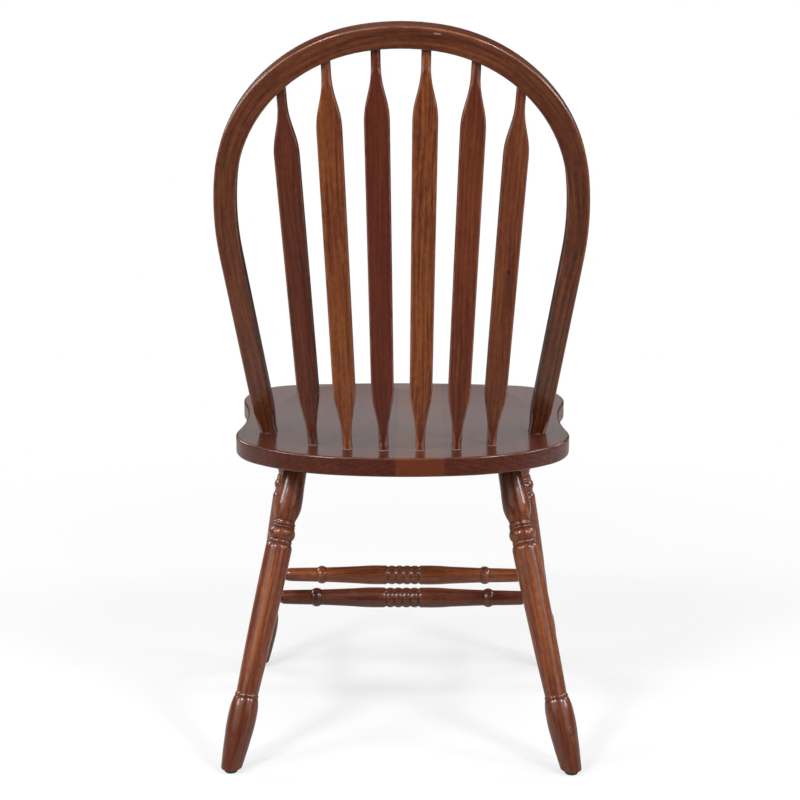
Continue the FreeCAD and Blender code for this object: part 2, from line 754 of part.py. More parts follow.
def make_leg(end, side, stretch):
    """One turned leg, with its sockets for the side stretcher and the glide's nail."""
    name = f"{end}_leg_{hand(side)}"
    foot, top = leg_axis(end, side)
    axis = direction(foot, top)
    body = new_body(name, frame(foot, axis, Vector(-axis.y, axis.x, 0)))
    stations = [(f"{cell(f'leg_{station}_at')} * {stretch}", cell(f"leg_{station}_radius"), bulge)
                for station, (along, radius, bulge) in LEG_TURNING.items()]
    length = cell(f"{end}_leg_length")
    stations.append((f"{length} - {cell('leg_root_below_seat')}", cell("leg_root_radius"), 0))
    stations.append((f"{length} + {cell('leg_tenon_length')}", cell("leg_tenon_radius"), 0))
    turned(body, stations)
    cut_foot(body, name, axis)
    glide_centre = foot + axis * (size("glide_height") / axis.z)
    nail_top = Vector(glide_centre.x, glide_centre.y, size("nail_from_floor") + size("nail_length"))
    socket(body, "nail_hole", nail_top, Vector(0, 0, -1), cell("nail_radius"),
           cell("stretcher_socket_length"))
    rear, front = side_stretcher_axis(side)
    peg_end, inwards = (rear, front - rear) if end == "rear" else (front, rear - front)
    socket(body, "stretcher_socket", peg_end, inwards, cell("side_tenon_radius"),
           cell("stretcher_socket_length"))
    leg_socket(name, top, axis)
    return glide_centre


def cut_foot(body, name, axis):
    """Cut the foot of a leaning leg level, at the top of its glide, and round the edge."""
    slope = -math.tan(math.acos(axis.z))
    level = size("glide_height") / axis.z
    reach = 2 * size("leg_foot_swell_radius")
    sketch = new_sketch(body, f"{name}_foot_cut", "YZ_Plane")
    corners = [(-reach, level - slope * reach), (reach, level + slope * reach),
               (reach, -2 * reach), (-reach, -2 * reach)]
    draw(sketch, [[corner, corners[(index + 1) % 4]] for index, corner in enumerate(corners)])
    before = body.Tip.Shape.Volume
    cut = sketched(body, "Pocket", sketch, f"4 * {cell('leg_ankle_radius')}", side="Symmetric")
    if before - cut.Shape.Volume < LEAST_CUT:
        raise ValueError(f"The foot of {name} is not cut")
    round_edges(body, "foot_edge", cut, cell("foot_edge_radius"),
                lambda edge: is_level(body, edge, size("glide_height")))


def is_level(body, edge, height):
    """Whether every part of an edge lies at one height above the floor."""
    points = edge.discretize(5)
    return all(abs(body.Placement.multVec(point).z - height) < TOUCH for point in points)


def leg_socket(name, top, axis):
    """The tapered socket in the seat for the tenon of a leg."""
    spare = size("socket_spare")
    start = top + axis * (size("leg_tenon_length") + spare)
    fall = f"({cell('leg_root_radius')} - {cell('leg_tenon_radius')})"
    run = f"({cell('leg_root_below_seat')} + {cell('leg_tenon_length')})"
    narrow = (f"{cell('leg_tenon_radius')} + {cell('glue_gap')}"
              f" - {fall} / {run} * {cell('socket_spare')}")
    height = (f"{cell('leg_tenon_length')} + {cell('socket_spare')}"
              f" + 2 * {cell('leg_root_below_seat')}")
    primitive(seat, "SubtractiveCone", f"{name}_socket",
              frame(start, -axis, Vector(1, 0, 0)),
              {"Radius1": narrow,
               "Radius2": f"{narrow} + {fall} / {run} * ({height})",
               "Height": height})


def make_glide(name, centre):
    """A plastic disc with a domed edge, in which the nail's lower end is held."""
    body = new_body(name, FreeCAD.Placement(Vector(centre.x, centre.y, 0), FreeCAD.Rotation()))
    turned(body, [
        ("0", cell("glide_sole_radius"), size("glide_dome_bulge")),
        (cell("glide_dome_height"), cell("glide_radius"), 0),
        (cell("glide_height"), cell("glide_radius"), 0),
    ])
    nail_end = Vector(centre.x, centre.y, size("nail_from_floor") + size("socket_spare"))
    socket(body, "nail_hole", nail_end, Vector(0, 0, 1), cell("nail_radius"),
           cell("socket_lead"))


def make_nail(name, centre):
    nail = doc.addObject("Part::Cylinder", name)
    nail.setExpression("Radius", cell("nail_radius"))
    nail.setExpression("Height", cell("nail_length"))
    nail.Placement.Base = Vector(centre.x, centre.y, size("nail_from_floor"))
    return nail


nails = []
for end, stretch in (("rear", "1"), ("front", cell("front_leg_stretch"))):
    for side in (1, -1):
        centre = make_leg(end, side, stretch)
        make_glide(f"glide_{end}_{hand(side)}", centre)
        nails.append(make_nail(f"nail_{end}_{hand(side)}", centre))
nail_set = doc.addObject("Part::Compound", "glide_nails")
nail_set.Label = "glide_nails"
nail_set.Links = nails
doc.recompute()

# Checks and export

for item in doc.Objects:
    if "Invalid" in item.State or "Error" in item.State:
        raise ValueError(f"{item.Name} is not valid: {item.State}")
pieces = [item for item in doc.Objects if item.TypeId == "PartDesign::Body"] + [nail_set]
for piece in pieces:
    if piece.Shape.isNull() or not piece.Shape.isValid() or piece.Shape.Volume < LEAST_CUT:
        raise ValueError(f"{piece.Label} has no valid solid")
os.makedirs("parts", exist_ok=True)
for piece in pieces:
    piece.Shape.exportStep(f"parts/{piece.Label}.step")
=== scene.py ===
import math

import bpy
from mathutils import Matrix, Vector


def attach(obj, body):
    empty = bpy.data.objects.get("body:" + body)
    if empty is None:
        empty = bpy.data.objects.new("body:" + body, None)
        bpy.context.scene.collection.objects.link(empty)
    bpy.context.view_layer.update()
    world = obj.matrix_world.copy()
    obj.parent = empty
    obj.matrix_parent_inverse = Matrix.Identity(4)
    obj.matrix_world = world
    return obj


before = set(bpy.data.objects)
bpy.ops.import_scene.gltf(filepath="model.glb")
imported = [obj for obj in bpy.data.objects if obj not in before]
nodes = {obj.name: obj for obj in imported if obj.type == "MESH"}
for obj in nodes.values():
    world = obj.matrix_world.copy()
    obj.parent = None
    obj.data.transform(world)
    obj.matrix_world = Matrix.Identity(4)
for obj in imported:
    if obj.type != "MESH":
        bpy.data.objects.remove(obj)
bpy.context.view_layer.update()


# Seat. Boards of a pale hardwood about 69 mm wide, grain running front to back, glued edge
# to edge and worked as one piece: a shallow saddle on top, a narrow waist at the sides and
# softened edges. It carries a red-brown stain under a clear satin-gloss lacquer.

class Value:
    """A number that varies over a surface. Sums, products and powers of it add Math nodes."""

    def __init__(self, shading, link):
        self.shading = shading
        self.link = link

    def math(self, operation, *others):
        return self.shading.node("ShaderNodeMath", {"operation": operation},
                                 dict(enumerate((self, *others))))

    def __add__(self, other):
        return self.math("ADD", other)

    def __sub__(self, other):
        return self.math("SUBTRACT", other)

    def __rsub__(self, other):
        return self.shading.node("ShaderNodeMath", {"operation": "SUBTRACT"},
                                 {0: other, 1: self})

    def __mul__(self, other):
        return self.math("MULTIPLY", other)

    def __truediv__(self, other):
        return self.math("DIVIDE", other)

    def __pow__(self, other):
        return self.math("POWER", other)

    __radd__ = __add__
    __rmul__ = __mul__

    def unsigned(self):
        return self.math("ABSOLUTE")

    def between(self, low, high, start=0.0, end=1.0):
        """A smooth run from start, at a low number, to end, at a high one, and level beyond."""
        return self.shading.node("ShaderNodeMapRange", {"interpolation_type": "SMOOTHSTEP"},
                                 {"Value": self, "From Min": low, "From Max": high,
                                  "To Min": start, "To Max": end})

    def near(self, middle, core, edge):
        """1 up to core away from a middle and 0 beyond edge, with a smooth run between them."""
        return 1 - (self - middle).unsigned().between(core, edge)


class Shading:
    """A tree of shader nodes."""

    def __init__(self, tree):
        self.tree = tree

    def node(self, kind, settings=None, sockets=None, output=0):
        """Add a node, set it up, connect it and give back one of its outputs, if it has any."""
        made = self.tree.nodes.new(kind)
        for setting, value in (settings or {}).items():
            if setting == "stops":
                while len(made.color_ramp.elements) < len(value):
                    made.color_ramp.elements.new(1)
                for element, (place, colour) in zip(made.color_ramp.elements, value):
                    element.position = place
                    element.color = (*colour, 1)
            else:
                setattr(made, setting, value)
        for socket, value in (sockets or {}).items():
            self.join(value, made.inputs[socket])
        return Value(self, made.outputs[output]) if made.outputs else None

    def join(self, value, socket):
        """Give a socket a link, a number or a colour."""
        if isinstance(value, Value):
            self.tree.links.new(value.link, socket)
        elif socket.type == "RGBA" and len(value) == 3:
            socket.default_value = (*value, 1)
        else:
            socket.default_value = value

    def split(self, vector):
        """The three numbers of a place or a direction."""
        first = self.node("ShaderNodeSeparateXYZ", {}, {0: vector})
        return [Value(self, output) for output in first.link.node.outputs]


MM_PER_METRE = 1000
# The Mix node's sockets for colours share their names with those for numbers.
MIX_FACTOR, MIX_START, MIX_END, MIXED = 0, 6, 7, 2
# The layers of the wood's figure: width and length in mm, seed, detail and roughness.
DRIFT = (60, 260, 1, 2.0, 0.55)
BROAD = (15, 230, 2, 3.0, 0.55)
BANDS = (3.2, 95, 3, 4.0, 0.6)
FIBRES = (0.8, 26, 4, 3.0, 0.65)
DASHES = (0.6, 12, 5, 2.0, 0.55)
MOTTLE = (7, 10, 6, 3.0, 0.55)
STREAKS = (2.1, 60, 7, 3.0, 0.55)
# How far the grain wanders across and through a piece, and the year rings with it, in mm.
WANDER = (16, 12)
RING_WANDER = 9
# The tree's heart, in mm across and through from a piece's middle, and the turn of the
# rings' wave in one mm.
HEART = (-46, -31)
RING_TURN = 0.9
# How much the bands, fibres, mottle and rings tell in the tone.
BAND_TONE, FIBRE_TONE, MOTTLE_TONE, RING_TONE = 0.5, 0.3, 0.3, 0.05
# The tones at which the stain is darkest, usual and lightest.
DARKEST, USUAL, LIGHTEST = 0.3, 0.5, 0.72
# How deep the fibres, bands and pores are in the bare wood.
FIBRE_DEPTH, BAND_DEPTH, PORE_DEPTH = 0.25, 0.35, 0.8
# How much of the wood's relief shows through the lacquer, and of its own orange peel.
WOOD_RELIEF, PEEL_RELIEF = 0.22, 0.12
# How squarely an arris faces, beside a broad face's 1, where it is rubbed and where a highlight
# is painted.
ARRIS_FACING = 0.77


class Finish(Shading):
    """A material for one piece, with the nodes that paint it."""

    def __init__(self, name):
        self.material = bpy.data.materials.new(name)
        self.material.use_nodes = True
        super().__init__(self.material.node_tree)
        self.surface = next(n for n in self.tree.nodes if n.type == "BSDF_PRINCIPLED")

    def use(self, **sockets):
        """Set the surface's own sockets, named with underscores."""
        for name, value in sockets.items():
            self.join(value, self.surface.inputs[name.replace("_", " ")])

    def cover(self, name):
        """Put the finish on one of the frame's nodes."""
        nodes[name].data.materials[0] = self.material

    def where(self):
        return self.node("ShaderNodeTexCoord", {}, {}, "Object")

    def place(self, origin=(0, 0, 0), turn=(0, 0, 0)):
        """Lengths in mm across, through and along a piece that stands at a place and a turn."""
        local = self.node("ShaderNodeMapping", {"vector_type": "TEXTURE"},
                          {"Vector": self.where(), "Location": origin, "Rotation": turn,
                           "Scale": [1 / MM_PER_METRE] * 3})
        return self.split(local)

    def blend(self, factor, start, end):
        """Go from one colour to another."""
        return self.node("ShaderNodeMix", {"data_type": "RGBA"},
                         {MIX_FACTOR: factor, MIX_START: start, MIX_END: end}, MIXED)

    def noise(self, point, detail=3.0, rough=0.55, scale=1.0):
        return self.node("ShaderNodeTexNoise", {}, {"Vector": point, "Scale": scale,
                                                    "Detail": detail, "Roughness": rough})

    def grain(self, place, seed, layer):
        """Noise drawn out along a piece, as one layer of its figure."""
        across, through, along = place
        width, length, own_seed, detail, rough = layer
        point = self.node("ShaderNodeCombineXYZ", {}, {0: across / width, 1: through / width,
                                                       2: along / length + seed * own_seed})
        return self.noise(point, detail, rough)

    def relief(self, height, strength, distance):
        return self.node("ShaderNodeBump", {}, {"Strength": strength, "Distance": distance,
                                                "Height": height})

    def facing(self, towards):
        """How squarely the surface faces along a direction or against it, from 0 to 1."""
        normal = self.node("ShaderNodeTexCoord", {}, {}, "Normal")
        dot = self.node("ShaderNodeVectorMath", {"operation": "DOT_PRODUCT"},
                        {0: normal, 1: towards}, "Value")
        return dot.unsigned()

    def rubbed_and_highlight(self, colour, square, pale, amount):
        """Pale patches along the arrises, where the surface turns over: rubbed wear and a
        painted highlight.
        """
        patches = self.noise(self.where(), detail=4.0, scale=55).between(0.3, 0.6)
        arris = square.near(ARRIS_FACING, 0.09, 0.22)
        return self.blend(arris * patches * amount, colour, pale)

    def wood(self, place, seed, stain, figure=0.5, streaky=0.5, contrast=1.0):
        """Straight-grained stained hardwood, as a colour and a height for its pores."""
        dark, middle, light = stain
        across, through, along = place
        drift = self.grain(place, seed, DRIFT)
        across = across + drift * WANDER[0]
        through = through + drift * WANDER[1]
        broad, bands, fibres, dashes, mottle, streaks = [
            self.grain((across, through, along), seed, layer)
            for layer in (BROAD, BANDS, FIBRES, DASHES, MOTTLE, STREAKS)]
        from_heart = ((across - HEART[0]) ** 2 + (through - HEART[1]) ** 2).math("SQRT")
        rings = ((from_heart + drift * RING_WANDER) * RING_TURN).math("SINE")
        tone = (broad * figure + bands * BAND_TONE + fibres * FIBRE_TONE
                + mottle * MOTTLE_TONE + rings * RING_TONE)
        average = (figure + BAND_TONE + FIBRE_TONE + MOTTLE_TONE) / 2
        tone = (tone - average) * contrast + USUAL
        stops = [(DARKEST, dark), (USUAL, middle), (LIGHTEST, light)]
        colour = self.node("ShaderNodeValToRGB", {"stops": stops}, {0: tone})
        colour = self.blend(streaks.between(0.54, 0.68) * streaky, colour, light)
        colour = self.blend(streaks.between(0.46, 0.3) * streaky, colour, dark)
        pores = dashes.between(0.56, 0.68) * broad.between(0.3, 0.55)
        colour = self.blend(pores * 0.5, colour, dark)
        height = fibres * FIBRE_DEPTH + bands * BAND_DEPTH - pores * PORE_DEPTH
        return colour, height

    def lacquer(self, colour, height, coat=0.55, rough=0.36):
        """A clear satin-gloss coat that lies nearly level over the pores."""
        orange_peel = self.noise(self.where(), detail=2.0, scale=120)
        wear = self.noise(self.where(), detail=4.0, scale=14)
        level = height * WOOD_RELIEF + orange_peel * PEEL_RELIEF
        self.use(Base_Color=colour, Roughness=rough + wear * 0.12,
                 Normal=self.relief(level, strength=0.1, distance=0.0006),
                 Coat_Weight=coat + wear * 0.2, Coat_Roughness=0.2, Specular_IOR_Level=0.12)


SEAT_TILT = math.radians(2.76)
# How wide a board is and how far from the middle one joint lies, in mm.
BOARD_WIDTH = 69
BOARD_JOINT = 9
# How far apart in the figure neighbours are cut: a step across in mm, and a step in seed.
BOARD_STEP = 31
BOARD_SEED = 0.37
# Boards are numbered towards the sitter's left, and this one lies in the middle.
ORANGE_BOARD = -1
# The share of a board's width that a glued joint darkens.
GLUE_JOINT = 0.006
SEAT_STAIN = ((0.032, 0.0066, 0.0035), (0.078, 0.0145, 0.0065), (0.135, 0.027, 0.008))
REDDER_BOARD = (0.05, 0.0085, 0.0045)
ORANGE_STAIN = (0.15, 0.034, 0.009)
JOINT_DARK = (0.02, 0.005, 0.003)
SEAT_TOP_PAINTED_SHEEN = (0.048, 0.0165, 0.0115)
SEAT_RUBBED_AND_HIGHLIGHT = (0.24, 0.1, 0.06)

seat_finish = Finish("seat_boards")
across, along, through = seat_finish.place(turn=(-SEAT_TILT, 0, 0))
boards_across = (across - BOARD_JOINT) / BOARD_WIDTH
board = boards_across.math("FLOOR")
redness = seat_finish.node("ShaderNodeTexWhiteNoise", {"noise_dimensions": "1D"}, {"W": board})
colour, height = seat_finish.wood((across + board * BOARD_STEP, through, along),
                                  board * BOARD_SEED, SEAT_STAIN, figure=0.4, streaky=0.3,
                                  contrast=0.9)
colour = seat_finish.blend(redness * 0.35, colour, REDDER_BOARD)
colour = seat_finish.blend(board.near(ORANGE_BOARD, 0.3, 0.6) * 0.55, colour, ORANGE_STAIN)
in_board = boards_across.math("FRACT")
inside = in_board.between(0.0, GLUE_JOINT) * (1 - in_board.between(1 - GLUE_JOINT, 1.0))
colour = seat_finish.blend((1 - inside) * 0.35, colour, JOINT_DARK)
# Where the top faces up it is tinted greyer: a painted sheen, the bright room mirrored in the
# lacquer.
level = seat_finish.facing((0, math.sin(SEAT_TILT), math.cos(SEAT_TILT)))
colour = seat_finish.blend(level.between(0.6, 0.95) * 0.5, colour, SEAT_TOP_PAINTED_SHEEN)
# Pale patches on the arrises: rubbed wear and a painted highlight.
colour = seat_finish.rubbed_and_highlight(colour, level, SEAT_RUBBED_AND_HIGHLIGHT, 0.35)
seat_finish.lacquer(colour, height, coat=0.7, rough=0.4)
seat_finish.cover("seat")


# Bow. One square stick, steamed and bent, so its grain follows the curve from foot to foot.
# Its long edges are rounded, and each foot is cut to the slope of the seat and stands on a
# round tenon.

BOW_FOOT = (0, 37.3, 454.13)
BOW_LEAN = math.radians(21.5)
# The bow's middle line from its crown down either side, in mm out from the middle and up the
# lean: the centre and radius of each arc, and how far round the bow has turned at its ends.
BOW_ARCS = [(0.0, 302.4, 306.0), (13.06, 383.05, 224.3), (-228.9, 351.5, 468.3)]
BOW_TURNS = [0.0, math.radians(9.2), math.radians(82.6), math.radians(97.16)]
# The straight leg below them starts here and runs in at this slope.
LEG_START = (235.8, 293.2)
LEG_DOWN, LEG_IN = 0.9922, 0.1246
# The arcs meet this far out and this far up.
CROWN_END, SHOULDER_END = 49, 411.7
BOW_SEED = 3.1
BOW_STAIN = ((0.055, 0.0125, 0.006), (0.13, 0.034, 0.0135), (0.225, 0.068, 0.021))
BOW_SIDE_PAINTED_SHADE = (0.035, 0.007, 0.004)
BOW_RUBBED_AND_HIGHLIGHT = (0.32, 0.16, 0.11)
# A scuff on the rear face, in mm round the bow from its crown and out from its middle line.
SCUFF_PLACE = (-45, 9)
SCUFF_REACH = (5.5, 1.3)
SCUFF_DEPTH = 4
SCUFF_COLOUR = (0.5, 0.38, 0.32)


def metres(place):
    """A place in mm, in Blender's metres."""
    return [length / MM_PER_METRE for length in place]


def oval(place, middle, reach):
    """0 in the middle of an oval patch, 1 on its outline and more outside it."""
    first, second = [((length - centre) / size) ** 2
                     for length, centre, size in zip(place, middle, reach)]
    return first + second


bow_finish = Finish("bow_bent_wood")
side, lean_up, forward = bow_finish.place(metres(BOW_FOOT), (math.pi / 2 - BOW_LEAN, 0, 0))
left = side.unsigned()
stretches = []
run = 0.0
for (centre_left, centre_up, radius), start, end in zip(BOW_ARCS, BOW_TURNS, BOW_TURNS[1:]):
    out_left = left - centre_left
    out_up = lean_up - centre_up
    reach = (out_left * out_left + out_up * out_up).math("SQRT")
    turned = out_left.math("ARCTAN2", out_up) - start
    stretches.append((reach - radius, turned * radius + run))
    run += (end - start) * radius
stretches.append(((left - LEG_START[0]) * LEG_DOWN - (lean_up - LEG_START[1]) * LEG_IN,
                  (LEG_START[1] - lean_up) * LEG_DOWN + run))
outward, around = stretches[0]
past_ends = (left.math("GREATER_THAN", CROWN_END), lean_up.math("LESS_THAN", SHOULDER_END),
             lean_up.math("LESS_THAN", LEG_START[1]))
for past, (next_outward, next_around) in zip(past_ends, stretches[1:]):
    outward = outward + past * (next_outward - outward)
    around = around + past * (next_around - around)
around = around * side.math("SIGN")
colour, height = bow_finish.wood((outward, forward, around), BOW_SEED, BOW_STAIN, figure=0.45)
scuff = oval((around, outward), SCUFF_PLACE, SCUFF_REACH) + forward / SCUFF_DEPTH
colour = bow_finish.blend((1 - scuff.between(0.5, 1.1)) * 0.5, colour, SCUFF_COLOUR)
# The faces that turn away from the broad rear face, over the top, the inside and the edges, are
# darkened: painted shade.
broad_face = bow_finish.facing((0, -math.cos(BOW_LEAN), math.sin(BOW_LEAN)))
colour = bow_finish.blend((1 - broad_face.between(0.2, 0.6)) * 0.5, colour, BOW_SIDE_PAINTED_SHADE)
# Pale patches on the arrises: rubbed wear and a painted highlight.
colour = bow_finish.rubbed_and_highlight(colour, broad_face, BOW_RUBBED_AND_HIGHLIGHT, 0.5)
bow_finish.lacquer(colour, height)
bow_finish.cover("bow")


# Spindles. Six flat sticks with an arrow outline, each from its own blank, so their stain
# took differently. From the sitter's left the second and fourth came out orange, the third
# red, and the sixth has a small knot above its foot.

LEFT_SPINDLE_LINES = [((128.3, 93.2, 451.4), (156.5, 223.6, 957.1)),
                      ((77.6, 114.1, 450.4), (97.3, 237.9, 993.3)),
                      ((25.9, 119.6, 450.2), (32.7, 244.1, 1009.1))]
PURPLE = ((0.042, 0.0102, 0.006), (0.1, 0.0235, 0.0115), (0.165, 0.043, 0.015))
RED = ((0.042, 0.0082, 0.0042), (0.1, 0.0185, 0.008), (0.165, 0.037, 0.012))
ORANGE = ((0.068, 0.0142, 0.0058), (0.162, 0.04, 0.0122), (0.27, 0.085, 0.021))
MIDDLE = ((0.052, 0.011, 0.0053), (0.125, 0.0265, 0.01), (0.205, 0.052, 0.015))
BROWN = ((0.06, 0.0145, 0.0068), (0.145, 0.0355, 0.0142), (0.225, 0.065, 0.0195))
# Each one's stain, how streaky it is, and the contrast of its figure.
SPINDLE_LOOKS = [(PURPLE, 0.4, 0.8), (ORANGE, 0.5, 1.0), (RED, 0.2, 0.55),
                 (ORANGE, 0.6, 1.1), (MIDDLE, 0.4, 0.8), (BROWN, 0.5, 0.9)]
SPINDLE_STEP = 40
SPINDLE_SEED = 1.7
SPINDLE_RUBBED_AND_HIGHLIGHT = (0.3, 0.15, 0.11)
# The knot, in mm across from the middle and up from the seat.
KNOTTY_SPINDLE = 6
KNOT_PLACE = (-3, 270)
KNOT_REACH = (2.4, 4)
KNOT_DARK = (0.02, 0.005, 0.003)


def mirrored(line):
    """The same line on the other side of the chair."""
    return tuple((-x, y, z) for x, y, z in line)


def turned_to(start, end):
    """The turn that takes Z along a line of the chair and keeps X near the chair's X."""
    z = (Vector(end) - Vector(start)).normalized()
    y = z.cross(Vector((1, 0, 0))).normalized()
    return Matrix((y.cross(z), y, z)).transposed().to_euler()


spindle_lines = LEFT_SPINDLE_LINES + [mirrored(line) for line in reversed(LEFT_SPINDLE_LINES)]
for number, ((foot, head), (stain, streaky, contrast)) in enumerate(
        zip(spindle_lines, SPINDLE_LOOKS), 1):
    finish = Finish(f"spindle_wood_{number}")
    turn = turned_to(foot, head)
    across, through, along = finish.place(metres(foot), turn)
    colour, height = finish.wood((across + number * SPINDLE_STEP, through, along),
                                 number * SPINDLE_SEED, stain, streaky=streaky,
                                 contrast=contrast)
    if number == KNOTTY_SPINDLE:
        knot = 1 - oval((across, along), KNOT_PLACE, KNOT_REACH).between(0.3, 1.4)
        colour = finish.blend(knot * 0.75, colour, KNOT_DARK)
    # The narrow sides and rounded edges are darkened towards the darkest stain: painted shade.
    broad_face = finish.facing(turn.to_matrix().col[1])
    colour = finish.blend((1 - broad_face.between(0.2, 0.6)) * 0.7, colour, stain[0])
    # Pale patches on the arrises: rubbed wear and a painted highlight.
    colour = finish.rubbed_and_highlight(colour, broad_face, SPINDLE_RUBBED_AND_HIGHLIGHT, 0.55)
    finish.lacquer(colour, height)
    finish.cover(f"spindle_{number}")


# Glue lines. A thin bead of dried glue shows round each spindle and each foot of the bow
# where it enters the seat. Its pale grey patches are partly the glue's colour and partly a
# painted highlight along the bead.

BOW_FEET = [(198.5, 25.7, 454.7), (-198.5, 25.7, 454.7)]
# How far each bead reaches round the wood in mm, and its depth as a share of its width.
SPINDLE_BEAD = (7.25, 1.0)
BOW_BEAD = (13.1, 0.9)
# Half a bead's thickness and how uneven it is, in metres, and its height as a share of its
# width.
BEAD_RADIUS = 0.0009
BEAD_UNEVENNESS = 0.00018
BEAD_HEIGHT = 0.6
GLUE_BROWN, GLUE_GREY_HIGHLIGHT = (0.1, 0.055, 0.045), (0.3, 0.22, 0.2)

glue_finish = Finish("dried_glue_and_painted_highlight")
# Brown glue mottled with pale grey: partly the glue, partly a painted highlight.
lumps = glue_finish.noise(glue_finish.where(), scale=500)
glue_finish.use(Base_Color=glue_finish.blend(lumps, GLUE_BROWN, GLUE_GREY_HIGHLIGHT),
                Roughness=0.45 + lumps * 0.2,
                Normal=glue_finish.relief(lumps, strength=0.4, distance=0.0004))
bpy.ops.object.select_all(action="DESELECT")
beads = []
for place, (reach, depth) in ([(foot, SPINDLE_BEAD) for foot, head in spindle_lines]
                              + [(foot, BOW_BEAD) for foot in BOW_FEET]):
    bpy.ops.mesh.primitive_torus_add(
        major_radius=reach / MM_PER_METRE, minor_radius=BEAD_RADIUS, major_segments=56,
        minor_segments=10, location=metres(place), rotation=(-SEAT_TILT, 0, 0))
    bead = bpy.context.object
    bpy.ops.object.mode_set(mode="EDIT")
    bpy.ops.mesh.select_all(action="SELECT")
    bpy.ops.transform.vertex_random(offset=BEAD_UNEVENNESS, uniform=0.4, normal=0.6,
                                    seed=len(beads) + 1)
    bpy.ops.transform.resize(value=(1.0, depth, BEAD_HEIGHT))
    bpy.ops.object.mode_set(mode="OBJECT")
    bpy.ops.object.shade_smooth()
    beads.append(bead)
for bead in beads:
    bead.select_set(True)
bpy.context.view_layer.objects.active = beads[0]
bpy.ops.object.join()
glue = bpy.context.object
glue.name = "glue_lines"
bpy.ops.object.transform_apply(location=True, rotation=True, scale=True)
glue.data.materials.append(glue_finish.material)
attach(glue, "root")


# Legs. Turned from one blank each: a swelling foot, a long shaft, a bead between small
# rings, and a vase under the seat. The grooves and the lower part towards the foot are
# darkened with painted shade, and the stain has left flame-like patches on the shaft. One
# foot is dented.

LEFT_REAR_LEG = ((243.5, 215.4, 0), (152, 59.3, 425.44))
LEFT_FRONT_LEG = ((243, -204, 0), (171, -168.7, 436.43))
LEG_LINES = {"rear_leg_left": LEFT_REAR_LEG, "rear_leg_right": mirrored(LEFT_REAR_LEG),
             "front_leg_left": LEFT_FRONT_LEG, "front_leg_right": mirrored(LEFT_FRONT_LEG)}
LEG_STEP = 50
LEG_SEED = 2.3
LEG_STAIN = ((0.062, 0.013, 0.006), (0.145, 0.036, 0.0145), (0.31, 0.1, 0.026))
# The grooves of a rear leg, in mm up from its foot. The front legs lean less, so the same
# heights come sooner along them.
LEG_GROOVES = [106.9, 331.9, 337.9, 354.6, 359.0, 366.0]
FRONT_LEG_SHARE = 0.9356
LEG_GROOVE_PAINTED_SHADE = (0.028, 0.006, 0.003)
# How far through a leg, in mm, its rear side begins and is fully there.
REAR_SIDE = (2, 9)
# The patches and dents are in mm across from a leg's middle and up from its foot. The edge of
# a patch is ragged, with a figure of its own.
FLAME_PLACE = (2, 215)
FLAME_REACH = (5, 100)
FLAME_EDGE = (1.1, 5, 1, 3.0, 0.7)
FLAME_RAGGEDNESS = 3.6
FLAMES = {"rear_leg_left": 0.55, "rear_leg_right": 0.2, "front_leg_left": 0.2,
          "front_leg_right": 0.2}
DENTS = {"rear_leg_right": [(-9, 62), (-10, 48)]}
DENT_REACH = (2.2, 3.6)
DENT_LIP = (0.42, 0.21, 0.13)
# Between these heights the colour goes from its darkest at the foot to its usual: painted
# shade.
FOOT_SHADE = (20, 190)

for number, (name, (foot, head)) in enumerate(LEG_LINES.items(), 1):
    finish = Finish(f"{name}_wood")
    across, through, along = finish.place(metres(foot), turned_to(foot, head))
    colour, height = finish.wood((across + number * LEG_STEP, through, along),
                                 number * LEG_SEED, LEG_STAIN, figure=0.4, streaky=0.2,
                                 contrast=0.85)
    darkest, lightest = LEG_STAIN[0], LEG_STAIN[2]
    rear_side = through.between(*REAR_SIDE)
    ragged = finish.grain((across, through, along), 0, FLAME_EDGE) - 0.5
    flame = oval((across, along), FLAME_PLACE, FLAME_REACH) + ragged * FLAME_RAGGEDNESS
    flame = (1 - flame.between(0.3, 1.0)) * rear_side
    colour = finish.blend(flame * FLAMES[name], colour, lightest)
    for dent in DENTS.get(name, ()):
        lip = oval((across, along), dent, DENT_REACH).near(1, 0.2, 0.8)
        colour = finish.blend(lip * rear_side * 0.5, colour, DENT_LIP)
    # The lower part towards the foot is darkened: painted shade.
    colour = finish.blend((1 - along.between(*FOOT_SHADE)) * 0.7, colour, darkest)
    share = FRONT_LEG_SHARE if name.startswith("front") else 1.0
    # Painted shade in the grooves.
    for groove in LEG_GROOVES:
        colour = finish.blend(along.near(groove * share, 0.6, 2.6) * 0.45, colour,
                              LEG_GROOVE_PAINTED_SHADE)
    finish.lacquer(colour, height)
    finish.cover(name)


# Stretchers. Two run from front to rear between the legs, and two run across between those.
# The cross ones are turned with a cluster of beads in the middle and a collar near each end.

LEFT_SIDE_STRETCHER = ((198.8, 139.1, 208), (211.7, -188.6, 190))
STRETCHER_LINES = {
    "side_stretcher_left": LEFT_SIDE_STRETCHER,
    "side_stretcher_right": mirrored(LEFT_SIDE_STRETCHER),
    "cross_stretcher_rear": ((-203, 42.3, 202.7), (203, 42.3, 202.7)),
    "cross_stretcher_front": ((-208, -88.7, 195.5), (208, -88.7, 195.5)),
}
STRETCHER_STEP = 60
STRETCHER_SEED = 3.7
STRETCHER_STAIN = ((0.034, 0.0074, 0.004), (0.08, 0.0185, 0.0085), (0.15, 0.042, 0.015))
PALER_STRETCHER = "cross_stretcher_front"
PALER_STAIN = ((0.075, 0.0165, 0.0072), (0.185, 0.048, 0.0175), (0.3, 0.097, 0.028))
# Distances of the grooves from the middle, in mm, where painted shade darkens them.
STRETCHER_GROOVES = [0.0, 12.2, 24.2, 122.2, 135.6]
STRETCHER_GROOVE_PAINTED_SHADE = (0.02, 0.0048, 0.0026)


